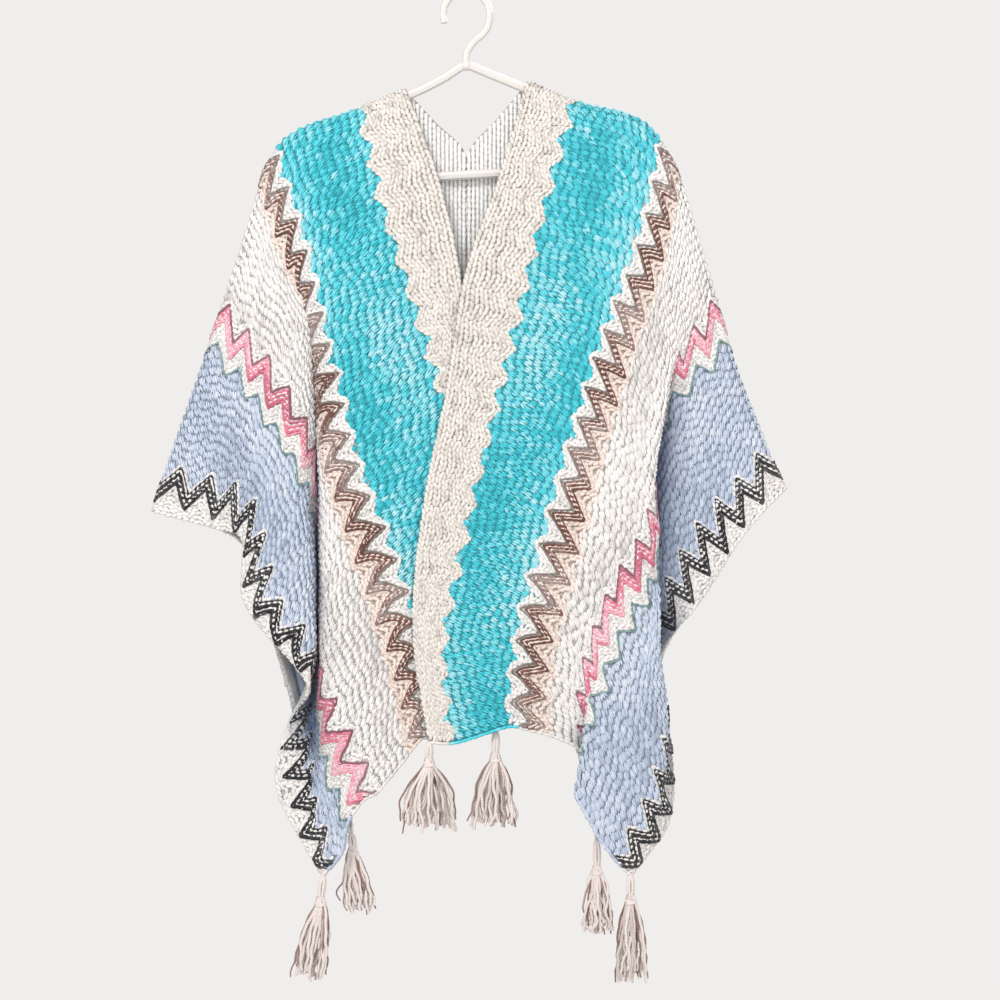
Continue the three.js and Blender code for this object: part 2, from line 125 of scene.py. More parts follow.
FRONT_PLUS_X = [
    (0, [(34, -17, 211), (0, -22, 306), (-22, -26, 440), (-46, -30, 561), (-58, -33, 699), (-40, -33, 827)]),
    (57, [(90, -18, 228), (61, -23, 347), (30, -27, 473), (0, -31, 601), (-23, -34, 721), (-15, -33, 828)]),
    (158, [(185, -20, 254), (154, -26, 364), (119, -29, 481), (89, -32, 596), (66, -33, 710),
           (56, -30, 810)]),
    (182, [(204, -21, 288), (166, -27, 393), (133, -30, 500), (104, -33, 611), (76, -34, 717),
           (67, -31, 813)]),
    (240, [(222, -22, 342), (195, -30, 438), (166, -35, 540), (132, -37, 641), (102, -36, 735),
           (96, -28, 821)]),
    (285, [(231, -20, 396), (212, -34, 484), (191, -40, 581), (147, -40, 674), (120, -34, 762),
           (122, -20, 834)]),
    (318, [(226, -16, 429), (201, -6, 512), (205, -36, 602), (155, -42, 690), (133, -34, 778),
           (142, -8, 856)]),
    (345, [(226, -13, 457), (199, -3, 523), (208, -32, 611), (177, -43, 706), (134, -34, 784),
           (141, -12, 875)]),
    (362, [(237, -12, 477), (200, -3, 547), (209, -26, 635), (191, -43, 726), (136, -40, 805),
           (121, -34, 880)]),
    (385, [(246, -12, 498), (201, -6, 575), (210, -34, 665), (202, -43, 743), (167, -42, 834),
           (136, -38, 913)]),
    (430, [(273, -12, 545), (226, -12, 619), (206, -12, 704), (218, -34, 793), (200, -41, 880),
           (158, -38, 948)]),
    (478, [(290, -12, 582), (242, -14, 651), (208, -4, 735), (219, -20, 820), (209, -36, 902),
           (172, -36, 964)]),
    (520, [(304, -13, 602), (260, -16, 671), (209, 0, 740), (224, -8, 828), (222, -24, 911),
           (180, -34, 971)]),
]

BACK_PLUS_X = [
    (0, [(34, 12, 136), (SEAM_X, 15, 176), (SEAM_X, 18, 300), (SEAM_X, 22, 450), (SEAM_X, 24, 600),
         (SEAM_X, 24, 720), (SEAM_X, 22, 826)]),
    (57, [(76, 15, 204), (58, 18, 322), (56, 22, 450), (54, 25, 600), (52, 25, 715), (50, 22, 814)]),
    (158, [(180, 17, 268), (160, 21, 384), (148, 25, 500), (134, 28, 620), (112, 28, 720), (88, 24, 810)]),
    (250, [(224, 18, 350), (200, 26, 450), (186, 33, 560), (168, 36, 670), (140, 30, 758), (122, 14, 836)]),
    (318, [(245, 16, 425), (214, 24, 520), (196, 38, 620), (178, 42, 720), (150, 40, 800), (136, 20, 878)]),
    (385, [(262, 14, 500), (226, 18, 590), (204, 22, 680), (190, 14, 770), (166, 16, 850), (142, 10, 906)]),
    (430, [(280, 14, 540), (240, 20, 620), (212, 30, 705), (196, 40, 790), (172, 40, 870), (146, 22, 922)]),
    (520, [(302, 12, 600), (258, 16, 668), (218, 26, 738), (202, 22, 810), (184, 10, 880), (145, 4, 940)]),
]

PANEL_PLUS_X = {"sign": 1, "folds": FOLDS_PLUS_X, "front": FRONT_PLUS_X, "back": BACK_PLUS_X}

FOLDS_MINUS_X = [
    (0, (-67, 105, 8)),
    (57, (-118, 127, 8)),
    (158, (-209, 171, 8.5)),
    (182, (-221, 193, 9)),
    (215, (-231, 226, 9)),
    (250, (-247, 277, 9)),
    (285, (-263, 326, 9)),
    (318, (-276, 366, 9)),
    (385, (-304, 447, 9)),
    (430, (-321, 495, 9)),
    (478, (-338, 546, 9)),
    (520, (-347, 574, 8)),
]

FRONT_MINUS_X = [
    (0, [(-29, -11, 209), (-3, -13, 330), (7, -17, 463), (17, -19, 595), (26, -20, 721), (33, -18, 816)]),
    (57, [(-95, -14, 231), (-58, -16, 348), (-23, -18, 471), (-13, -19, 600), (-4, -20, 721), (2, -19, 822)]),
    (158, [(-177, -18, 278), (-149, -22, 388), (-117, -24, 504), (-81, -23, 619), (-46, -20, 727),
           (-36, -18, 828)]),
    (182, [(-190, -18, 292), (-166, -12, 398), (-142, -25, 514), (-102, -25, 622), (-69, -22, 725),
           (-47, -20, 823)]),
    (215, [(-207, -17, 299), (-177, -14, 352), (-168, 4, 418), (-157, -20, 528), (-133, -28, 627),
           (-101, -26, 726), (-70, -25, 850)]),
    (250, [(-216, -18, 332), (-179, -22, 385), (-169, 4, 451), (-163, 8, 528), (-155, -24, 622),
           (-136, -32, 721), (-88, -28, 872)]),
    (285, [(-229, -18, 376), (-191, -24, 424), (-173, -12, 473), (-167, 16, 550), (-162, 8, 638),
           (-155, -22, 732), (-141, -30, 803), (-99, -28, 884)]),
    (318, [(-251, -12, 391), (-220, -24, 433), (-183, -24, 495), (-171, -4, 537), (-167, 20, 627),
           (-163, 12, 721), (-152, -24, 809), (-112, -27, 891)]),
    (345, [(-257, -8, 418), (-224, -24, 457), (-183, -24, 528), (-172, 0, 578), (-171, 22, 671),
           (-168, 14, 770), (-154, -14, 853), (-128, -27, 913)]),
    (385, [(-262, -6, 460), (-232, -26, 490), (-185, -26, 578), (-170, -8, 638), (-173, 22, 726),
           (-170, 16, 809), (-157, -12, 886), (-134, -26, 943)]),
    (430, [(-268, -6, 512), (-238, -27, 534), (-199, -28, 627), (-169, -14, 715), (-177, 18, 776),
           (-176, 4, 847), (-163, -14, 908), (-143, -25, 959)]),
    (478, [(-273, -7, 563), (-241, -27, 583), (-224, -28, 673), (-174, -16, 750), (-187, 8, 794),
           (-179, -6, 875), (-153, -23, 970)]),
    (520, [(-277, -8, 593), (-245, -26, 602), (-243, -27, 671), (-175, -14, 766), (-194, 6, 801),
           (-211, -4, 875), (-157, -21, 974)]),
]

BACK_MINUS_X = [
    (0, [(-34, 12, 140), (-SEAM_X, 15, 176), (-SEAM_X, 18, 300), (-SEAM_X, 22, 450), (-SEAM_X, 24, 600),
         (-SEAM_X, 24, 720), (-SEAM_X, 22, 826)]),
    (57, [(-76, 15, 208), (-58, 18, 324), (-56, 22, 450), (-54, 25, 600), (-52, 25, 720), (-52, 22, 826)]),
    (158, [(-180, 17, 280), (-160, 22, 390), (-148, 27, 500), (-134, 32, 620), (-112, 32, 725),
           (-92, 26, 827)]),
    (250, [(-222, 20, 355), (-200, 34, 450), (-188, 46, 560), (-170, 48, 670), (-142, 40, 760),
           (-116, 22, 846)]),
    (318, [(-245, 16, 430), (-218, 30, 520), (-198, 48, 620), (-180, 52, 720), (-152, 46, 800),
           (-124, 24, 872)]),
    (385, [(-262, 13, 500), (-228, 26, 584), (-206, 40, 676), (-186, 36, 770), (-156, 28, 850),
           (-127, 14, 896)]),
    (430, [(-278, 13, 532), (-236, 26, 598), (-208, 44, 688), (-189, 48, 780), (-160, 42, 860),
           (-130, 22, 912)]),
    (520, [(-290, 10, 588), (-247, 17, 612), (-228, 30, 676), (-206, 32, 752), (-173, 18, 850),
           (-128, 8, 933)]),
]

PANEL_MINUS_X = {"sign": -1, "folds": FOLDS_MINUS_X, "front": FRONT_MINUS_X, "back": BACK_MINUS_X}

PANELS = {"panel_plus_x": PANEL_PLUS_X, "panel_minus_x": PANEL_MINUS_X}

# How far from its middle a line looks for its strands, in what steps, and how far the cloth may close up
STRAND_REACH = 72
STRAND_STEP = 3
LEAST_SPREAD = 0.35

# The yarns that are worked as raised strands, and how far the darker of them pale where their tone is light
DARK_YARNS = ("brown", "taupe", "pink", "plum", "teal", "black")
LINE_LIGHTS = {"brown": 0.26, "taupe": 0.12, "plum": 0.12, "teal": 0.12, "black": 0.12}

# The wide stripes of bobbles, each with the numbers of the zigzags on either side of it
BOBBLE_STRIPES = [("turquoise", 0, 1), ("white", 1, 2), ("blue", 2, 3)]


def fan(first, last, shares, yarn, count, radius=2.2):
    """Rows of plain stitches that lie side by side and follow a zigzag less and less."""
    return [
        (offset, share, yarn, radius, 0.15)
        for offset, share in zip(np.linspace(first, last, count), np.linspace(*shares, count))
    ]


# The lines of zigzag stitches, in millimetres: the middle, how far they swing to each side, their period and
# their strands of yarn. A strand has its distance from the middle, its share of the swing, its yarn, its
# radius and how much its tone drifts along it.
LINES = [
    ("band", 57, 6.5, 36, fan(-2.4, -54.4, (1, 0), "cream", 13, 2.6)),
    (
        "brown", 184, 14.5, 34,
        [
            *fan(-23.5, -14.5, (0.42, 1), "white", 4, 2.3),
            (-10.8, 1, "taupe", 1.0, 0.5),
            (-8.2, 1, "white", 1.7, 0.2),
            (-5.7, 1, "brown", 1.4, 0.7),
            (-2.8, 1, "blush", 1.15, 0.2),
            (0.1, 1, "brown", 1.5, 0.7),
            (3.1, 1, "blush", 1.15, 0.2),
            (6.1, 1, "brown", 1.4, 0.7),
            (9.2, 0.96, "blush", 2.1, 0.2),
            *fan(12.6, 23, (0.82, 0.3), "blush", 3, 2.3),
        ],
    ),
    (
        "pink", 315, 13.5, 36,
        [
            *fan(-20.5, -13.5, (0.6, 0.95), "white", 3, 2.3),
            (-10.4, 1, "plum", 1.25, 0.6),
            (-7.9, 1, "rose", 2.0, 0.2),
            (-5.5, 1, "pink", 1.5, 0.8),
            (-2.9, 1, "rose", 1.3, 0.2),
            (-0.4, 1, "pink", 1.6, 0.8),
            (2.3, 1, "rose", 1.25, 0.2),
            (4.8, 1, "pink", 1.6, 0.8),
            (7.9, 1, "pink", 1.4, 0.8),
            *fan(11.4, 27.5, (0.97, 0.8), "white", 5, 2.4),
            (31, 0.78, "teal", 1.05, 0.5),
        ],
    ),
    (
        "black", 476, 15.5, 35,
        [
            (-13.2, 1, "white", 2.2, 0.2),
            (-9.6, 1, "black", 1.3, 0.2),
            (-7.1, 1, "white", 1.3, 0.2),
            (-4.6, 1, "black", 1.3, 0.2),
            (-1.2, 1, "black", 1.55, 0.2),
            (1.5, 1, "white", 1.3, 0.2),
            (4.1, 1, "black", 1.35, 0.2),
            (7.6, 1, "black", 1.5, 0.2),
            *fan(11.6, 41.4, (0.97, 0), "white", 7, 2.8),
        ],
    ),
]

# The strands that spread or close up with the cloth and so reach its edge: a line, its first and last offset
TO_THE_EDGE = {"band": (-60, 0), "black": (11, 50)}


def fills(line, offset):
    """Whether a strand is one of those that fill the cloth as far as its edge."""
    first, last = TO_THE_EDGE.get(line[0], (0, 0))
    return first < offset < last


# The ground between the stitches: where each colour starts, in millimetres from the inner edge
GROUND = [
    (0, "cream"),
    (51, "turquoise"),
    (162, "white"),
    (184, "blush"),
    (204, "white"),
    (306, "rose"),
    (324, "white"),
    (338, "blue"),
    (470, "white"),
]

# A tassel's strands, their rings and sides, how far under its corner it starts and how far down it is tied
TASSEL_STRANDS = 41
TASSEL_RINGS = 17
TASSEL_SIDES = 4
TASSEL_GAP = 0.4
WRAPPED = 9
# The strands that are brown and thin
BROWN_STRANDS = (5, 14, 21, 25, 31, 34, 38)
# The turns that tie it: how far down, how wide, how thick and how far each one tilts
TASSEL_WRAPS = [(5.2, 5.6, 1.3, 1.0), (7.2, 5.2, 1.5, -0.5), (9.0, 5.7, 1.25, 1.3)]
# The loops through its corner: which way each one faces, in radians, and its half width
TASSEL_LOOPS = [(0.5, 4.0), (1.2, 4.8), (2.0, 4.4), (2.7, 3.6)]
TURN_SAMPLES = 17

# The tassels: the panel, the line and the side whose corner each hangs from, then its loop's height, its
# foot's lean, its length from the loop down and its half width at the foot
TASSELS = [
    ("tassel_front_inner_plus_x", PANEL_PLUS_X, 0, "front", 16, 0, 82, 30),
    ("tassel_front_inner_minus_x", PANEL_MINUS_X, 0, "front", 24, -5, 83, 21),
    ("tassel_front_outer_minus_x", PANEL_MINUS_X, 520, "front", 24, -19, 90, 14),
    ("tassel_back_outer_minus_x", PANEL_MINUS_X, 520, "back", 14, 11, 74, 13),
    ("tassel_back_outer_plus_x", PANEL_PLUS_X, 520, "back", 28, 3, 76, 11),
    ("tassel_front_outer_plus_x", PANEL_PLUS_X, 520, "front", 22, 2, 96, 13),
]


# The lamps, each with its place, its power in watts and its size, and the camera's place beside the cloth
LAMPS = [
    ("key", (-0.8, -2.3, 0.9), 40, 0.8),
    ("fill", (0.5, -2.7, -0.3), 20, 1.4),
    ("back", (0.8, 2.2, 0.8), 42, 1.4),
]
LAMPS_AIM = (0, 0, -0.5)
FLOOR_BELOW = 0.29
CAMERA_X = 0.0374
CAMERA_Z = -0.561


def linear(code):
    """An sRGB hex colour as the linear red, green and blue that shaders take."""
    parts = [int(code[i : i + 2], 16) / 255 for i in (1, 3, 5)]
    return tuple(c / 12.92 if c <= 0.04045 else ((c + 0.055) / 1.055) ** 2.4 for c in parts)


YARN_COLOURS = {
    "cream": "#e9e1d9",
    "turquoise": "#42d3e2",
    "white": "#f0ebe8",
    "blush": "#f1ddd2",
    "rose": "#f6dfe2",
    "blue": "#c2cee3",
    "brown": "#784a3f",
    "taupe": "#8b8078",
    "pink": "#ee809a",
    "plum": "#95606c",
    "teal": "#7a9f9d",
    "black": "#17171d",
    "tassel": "#eaddd9",
    "rust": "#8f6a5c",
}


def yarn_colour(name):
    label = f"{name.capitalize()} yarn"
    return FloatVectorProperty(
        name=label,
        description=f"Colour of the {label.lower()}",
        subtype="COLOR",
        size=3,
        min=0,
        max=1,
        default=linear(YARN_COLOURS[name]),
    )


def distance_setting(name, description, default):
    """A length in metres that a user can set."""
    return FloatProperty(
        name=name, description=description, default=default, unit="LENGTH", subtype="DISTANCE"
    )


class PonchoYarns(bpy.types.PropertyGroup):
    __annotations__ = {name: yarn_colour(name) for name in YARN_COLOURS}


class PonchoKnit(bpy.types.PropertyGroup):
    wale: distance_setting("Wale", "Width of a bobble stitch", 9.75 * MM)
    course: distance_setting("Course", "Height of a bobble stitch", 6.5 * MM)
    yarn: distance_setting("Yarn", "Radius of the bobble yarn", 1.65 * MM)
    swell: distance_setting("Swell", "How far a bobble stands out", 2.3 * MM)
    shell: distance_setting("Shell", "Thickness of the knitted ground", 2.0 * MM)


class PonchoStage(bpy.types.PropertyGroup):
    view_width: distance_setting("View width", "Width of the view at the cloth", 1.1)
    distance: distance_setting("Distance", "From the camera to the cloth", 2.2)
    floor_radius: distance_setting("Floor", "Radius of the floor", 0.95)


def across(knots, values, at):
    """A smooth curve through values at uneven knots, for one place."""
    i = int(np.clip(np.searchsorted(knots, at, side="right") - 1, 0, len(knots) - 2))
    slopes = (values[1:] - values[:-1]) / np.diff(knots)[:, None]

    def tangent(k):
        if k == 0 or k == len(knots) - 1:
            return slopes[min(k, len(slopes) - 1)]
        before = knots[k] - knots[k - 1]
        after = knots[k + 1] - knots[k]
        return (slopes[k] * before + slopes[k - 1] * after) / (before + after)

    span = knots[i + 1] - knots[i]
    s = (at - knots[i]) / span
    return (
        values[i] * (1 + 2 * s) * (1 - s) ** 2
        + tangent(i) * span * s * (1 - s) ** 2
        + values[i + 1] * s * s * (3 - 2 * s)
        + tangent(i + 1) * span * s * s * (s - 1)
    )


def weights(knots, places):
    """What each knot's line gives to each place across the panel."""
    knots = np.array(knots, float)
    return np.array([across(knots, np.eye(len(knots)), at) for at in places])


def smooth_path(points, steps):
    """A centripetal Catmull-Rom curve through the points, as a fine row of places."""
    points = np.asarray(points, float)
    points = np.vstack([2 * points[0] - points[1], points, 2 * points[-1] - points[-2]])
    made = []
    for a, b, c, d in zip(points[:-3], points[1:-2], points[2:-1], points[3:]):
        ab, bc, cd = (max(np.linalg.norm(q - p) ** 0.5, 1e-4) for p, q in ((a, b), (b, c), (c, d)))
        start = ((b - a) / ab - (c - a) / (ab + bc) + (c - b) / bc) * bc
        end = ((c - b) / bc - (d - b) / (bc + cd) + (d - c) / cd) * bc
        s = np.linspace(0, 1, steps, endpoint=False)[:, None]
        bend = -3 * b + 3 * c - 2 * start - end
        turn = 2 * b - 2 * c + start + end
        made.append(b + start * s + bend * s**2 + turn * s**3)
    return np.vstack([*made, points[-2:-1]])


def by_length(path, shares):
    """The places at those shares of a path's length."""
    run = run_of(path)
    return np.stack([np.interp(shares * run[-1], run, path[:, k]) for k in range(3)], axis=1)


def run_of(points):
    """How far along a row of places each one lies."""
    return np.concatenate([[0], np.cumsum(np.linalg.norm(np.diff(points, axis=0), axis=1))])


def along_path(values, length, along):
    """The values of a path at places along it."""
    return np.stack([np.interp(along, length, values[:, k]) for k in range(3)], axis=-1)


def unit(vectors):
    """The directions of the vectors, each one unit long."""
    return vectors / np.maximum(np.linalg.norm(vectors, axis=-1, keepdims=True), 1e-9)


def triangle_wave(run, period):
    """A zigzag from -1 to 1."""
    return 2 * np.abs(2 * ((run / period) % 1) - 1) - 1


class Cloth:
    """The middle of one panel as a fine grid over u, from the inner edge, and v, from the shoulder fold."""

    def __init__(self, panel):
        self.sign = panel["sign"]
        self.us = np.linspace(0, PANEL_WIDTH, int(PANEL_WIDTH / GRID_STEP) + 1)
        shares = np.linspace(0, 1, int(HALF_LENGTH / GRID_STEP) + 1)
        folds = np.array([row[1] for row in panel["folds"]], float)
        tips = weights([row[0] for row in panel["folds"]], self.us) @ folds
        tip_places = np.stack([tips[:, 0], np.zeros(len(tips)), -tips[:, 1]], axis=1)
        halves = {}
        for side, outward in (("front", -1), ("back", 1)):
            rows = panel[side]
            starts = weights([row[0] for row in panel["folds"]], [row[0] for row in rows]) @ folds
            lines = []
            for (u, places), (x, drop, roll) in zip(rows, starts):
                places = np.array(places, float) * (1, 1, -1)
                tip = np.array([x, 0, -drop])
                away = (places[0] - tip) * (1, 0, 1)
                away /= np.linalg.norm(away)
                half = math.sqrt(0.5)
                rounded = [tip + away * roll * (1 - half) + (0, outward * roll * half, 0)]
                rounded.append(tip + away * roll + (0, outward * roll, 0))
                lines.append(by_length(smooth_path([tip, *rounded, *places], LINE_SAMPLES), shares))
            mix = weights([row[0] for row in rows], self.us)
            half_grid = np.einsum("ur,rkd->ukd", mix, np.array(lines))
            fade = np.maximum(0, 1 - shares * 5) ** 2
            half_grid += (tip_places - half_grid[:, 0])[:, None] * fade[None, :, None]
            halves[side] = half_grid
        back = halves["back"]
        inside = back[:, :, 0] * self.sign < SEAM_X
        back[:, :, 0] = np.where(inside, SEAM_X * self.sign, back[:, :, 0])
        self.grid = np.concatenate([back[:, :0:-1], halves["front"]], axis=1)
        self.vs = np.concatenate([-shares[:0:-1], shares]) * HALF_LENGTH
        self.out = self.outward()
        # How deep each place lies in a fold, which sets the painted shade there
        self.depth = self.fold_depth()
        steps = np.linalg.norm(np.diff(self.grid, axis=1), axis=2)
        runs = np.concatenate([np.zeros((len(self.us), 1)), np.cumsum(steps, axis=1)], axis=1)
        self.runs = runs[..., None]

    def fold_depth(self):
        """How deep each place lies in a fold, from 0 to 1, by the cloth that stands out beside it: the amount
        of painted shade there.
        """
        depth = np.zeros(self.grid.shape[:2])
        for side, outward in ((self.vs > 0, -1), (self.vs <= 0, 1)):
            x, y, z = np.moveaxis(self.grid[:, side], 2, 0)
            cells = (((x + FOLD_MAP[0] / 2) / FOLD_CELL).astype(int), (-z / FOLD_CELL).astype(int))
            stands = np.full([int(size / FOLD_CELL) for size in FOLD_MAP], -FOLD_DEPTH)
            np.maximum.at(stands, cells, outward * y)
            reach = stands.copy()
            for step in range(1, FOLD_REACH):
                lower = FOLD_SLOPE * step * FOLD_CELL
                reach[step:] = np.maximum(reach[step:], stands[:-step] - lower)
                reach[:-step] = np.maximum(reach[:-step], stands[step:] - lower)
            depth[:, side] = reach[cells] - outward * y - FOLD_CELL
        return np.clip(depth / FOLD_DEPTH, 0, 1)[..., None]

    def outward(self):
        along_u = np.gradient(self.grid, axis=0)
        along_v = np.gradient(self.grid, axis=1)
        return unit(np.cross(along_u, along_v) * -self.sign)

    def look_up(self, table, u, v):
        a = np.clip(np.asarray(u, float) / (self.us[1] - self.us[0]), 0, len(self.us) - 1.001)
        b = np.clip((np.asarray(v, float) - self.vs[0]) / (self.vs[1] - self.vs[0]), 0, len(self.vs) - 1.001)
        i, j = a.astype(int), b.astype(int)
        s, t = (a - i)[..., None], (b - j)[..., None]
        near = table[i, j] * (1 - t) + table[i, j + 1] * t
        far = table[i + 1, j] * (1 - t) + table[i + 1, j + 1] * t
        return near * (1 - s) + far * s

    def place(self, u, v, height=0.0):
        """Places in metres at u and v, out from the middle of the cloth by height, all in millimetres."""
        out = unit(self.look_up(self.out, u, v))
        return (self.look_up(self.grid, u, v) + out * np.asarray(height)[..., None]) * MM

    def run(self, u, vs):
        """How far along the cloth each v lies, on the line at u."""
        return run_of(self.look_up(self.grid, np.full(len(vs), u), vs))

    def frame_at(self, u, v):
        """The place at each u and v in millimetres, and the unit directions along u, along v and outward."""
        step = 1.0
        place = self.look_up(self.grid, u, v)
        along_u = self.look_up(self.grid, u + step, v) - self.look_up(self.grid, u - step, v)
        along_v = self.look_up(self.grid, u, v + step) - self.look_up(self.grid, u, v - step)
        out = self.look_up(self.out, u, v)
        return (place, *(unit(x) for x in (along_u, along_v, out)))

    def strand_at(self, line, strand, vs):
        """Where a strand of a zigzag lies in u at each v, and how far the cloth is spread there.

        Its distances are real ones, measured across the cloth. Its swing and its period drift a little."""
        _, middle, swing, period, _ = line
        offset, share = strand[:2]
        us = middle + np.arange(-STRAND_REACH, STRAND_REACH + 1, STRAND_STEP)
        places = self.look_up(self.grid, np.tile(us, (len(vs), 1)), np.repeat(vs[:, None], len(us), axis=1))
        lengths = np.maximum(np.linalg.norm(np.diff(places, axis=1), axis=2), LEAST_SPREAD * STRAND_STEP)
        across_cloth = np.concatenate([np.zeros((len(vs), 1)), np.cumsum(lengths, axis=1)], axis=1)
        across_cloth -= across_cloth[:, len(us) // 2, None]
        run = self.run(middle, vs)
        from_fold = run - run[len(vs) // 2]
        uneven = 1 + 0.16 * np.sin(from_fold / 39 + middle) + 0.08 * np.sin(from_fold / 13)
        drifted = from_fold + 3.0 * np.sin(from_fold / 57 + middle)
        wave = swing * uneven * triangle_wave(drifted, period)
        spread = fills(line, offset)
        wanted = share * wave + (0 if spread else offset)
        k = np.clip((across_cloth < wanted[:, None]).sum(axis=1), 1, len(us) - 1)
        row = np.arange(len(vs))
        before, after = across_cloth[row, k - 1], across_cloth[row, k]
        u = us[k - 1] + STRAND_STEP * (wanted - before) / (after - before) + (offset if spread else 0)
        return np.clip(u, 1.5, PANEL_WIDTH - 1.5), lengths.mean(axis=1) / STRAND_STEP


CLOTHS = {name: Cloth(panel) for name, panel in PANELS.items()}


def new_object(name, points, faces, material, tones=None, folds=None):
    """A smooth mesh that rides with the garment. faces is a whole-number array of quads."""
    mesh = bpy.data.meshes.new(name)
    faces = np.asarray(faces, np.int32)
    mesh.vertices.add(len(points))
    mesh.vertices.foreach_set("co", np.asarray(points, np.float32).ravel())
    mesh.loops.add(faces.size)
    mesh.loops.foreach_set("vertex_index", faces.ravel())
    mesh.polygons.add(len(faces))
    mesh.polygons.foreach_set("loop_start", np.arange(0, faces.size, faces.shape[1], dtype=np.int32))
    mesh.polygons.foreach_set("use_smooth", np.ones(len(faces), bool))
    mesh.update(calc_edges=True)
    # The fold attribute is each point's amount of painted fold shade
    for label, values in (("tone", tones), ("fold", folds)):
        if values is not None:
            attribute = mesh.attributes.new(label, "FLOAT", "POINT")
            attribute.data.foreach_set("value", np.asarray(values, np.float32))
    obj = bpy.data.objects.new(name, mesh)
    bpy.context.scene.collection.objects.link(obj)
    mesh.materials.append(material)
    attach(obj, BODY)
    return obj


def tube_faces(count, rings, sides):
    """Quads for a number of like tubes whose points are stored tube by tube and ring by ring."""
    ring, side = np.meshgrid(np.arange(rings - 1), np.arange(sides), indexing="ij")
    a = ring * sides + side
    b = ring * sides + (side + 1) % sides
    one = np.stack([a, b, b + sides, a + sides], axis=-1).reshape(-1, 4)
    starts = np.arange(count) * rings * sides
    return (starts[:, None, None] + one).reshape(-1, 4)


def yarn_tubes(centres, ups, radius, sides):
    """Tubes of yarn along centres, an array of tubes by rings by 3. ups points away from the cloth."""
    forward = unit(np.gradient(centres, axis=1))
    side = unit(np.cross(forward, ups))
    rise = np.cross(side, forward)
    start = math.pi / 6 if sides == 3 else math.pi / 2
    angles = start + np.arange(sides) * 2 * math.pi / sides
    radius = np.broadcast_to(radius, centres.shape[:2])[..., None, None]
    points = centres[:, :, None] + radius * (
        side[:, :, None] * np.cos(angles)[:, None] + rise[:, :, None] * np.sin(angles)[:, None]
    )
    faces = tube_faces(centres.shape[0], centres.shape[1], sides)[:, ::-1]
    return points.reshape(-1, 3) * MM, faces


def node(tree, kind, settings=(), links=()):
    """Adds a shader node, sets its properties and sockets, and links sockets to it."""
    made = tree.nodes.new("ShaderNode" + kind)
    for key, value in dict(settings).items():
        if isinstance(key, str) and hasattr(made, key):
            setattr(made, key, value)
        else:
            made.inputs[key].default_value = value
    for key, source in dict(links).items():
        tree.links.new(source, made.inputs[key])
    return made


def new_material(name):
    material = bpy.data.materials.new(name)
    material.use_nodes = True
    tree = material.node_tree
    tree.nodes.clear()
    return material, tree


def band_scale(period):
    """The wave texture's scale for bands that repeat after so many millimetres."""
    return math.pi / 10 / (period * MM)


def close_material(tree, surface, height, strength, distance):
    bump = node(tree, "Bump", {"Strength": strength, "Distance": distance}, {"Height": height})
    tree.links.new(bump.outputs["Normal"], surface.inputs["Normal"])
    node(tree, "OutputMaterial", {}, {"Surface": surface.outputs[0]})


def paint_fold_shade(tree, colour):
    """The colour with painted shade: dimmer and cooler where the cloth lies deep in a fold."""
    fold = node(tree, "Attribute", {"attribute_name": "fold"})
    mixed = node(
        tree,
        "Mix",
        {"data_type": "RGBA", "blend_type": "MULTIPLY", 7: (*FOLD_SHADE, 1)},
        {0: fold.outputs["Fac"], 6: colour},
    )
    return mixed.outputs[2]


def yarn_material(name, yarn, yarns, shade, light):
    """Brushed acrylic yarn, spun soft and knitted: matt, a little fuzzy and uneven in tone.

    shade is how dark its darkest tone is, and light how pale its palest one."""
    colour = tuple(getattr(yarns, yarn))
    material, tree = new_material(name)
    tone = node(tree, "Attribute", {"attribute_name": "tone"})
    place = node(tree, "TexCoord")
    fibres = node(
        tree, "TexNoise", {"Scale": 800.0, "Detail": 3.0}, {"Vector": place.outputs["Object"]}
    )
    uneven = node(
        tree,
        "MapRange",
        {"From Min": 0.3, "From Max": 0.7, "To Min": -0.2, "To Max": 0.2},
        {"Value": fibres.outputs["Fac"]},
    )
    blend = node(tree, "Math", {"operation": "ADD"}, {0: uneven.outputs[0], 1: tone.outputs["Fac"]})
    ramp = node(tree, "ValToRGB", {}, {"Fac": blend.outputs[0]})
    stops = ramp.color_ramp.elements
    stops[0].position = 0.0
    stops[0].color = (*(c * shade for c in colour), 1)
    stops[1].position = 1.0
    stops[1].color = (*(c + (1 - c) * light for c in colour), 1)
    middle = stops.new(0.45)
    middle.color = (*colour, 1)
    surface = node(
        tree,
        "BsdfPrincipled",
        {"Roughness": 0.92, "IOR": 1.46, "Sheen Weight": 0.25, "Sheen Roughness": 0.5},
        {"Base Color": paint_fold_shade(tree, ramp.outputs["Color"])},
    )
    close_material(tree, surface, fibres.outputs["Fac"], 0.35, 0.0004)
    return material


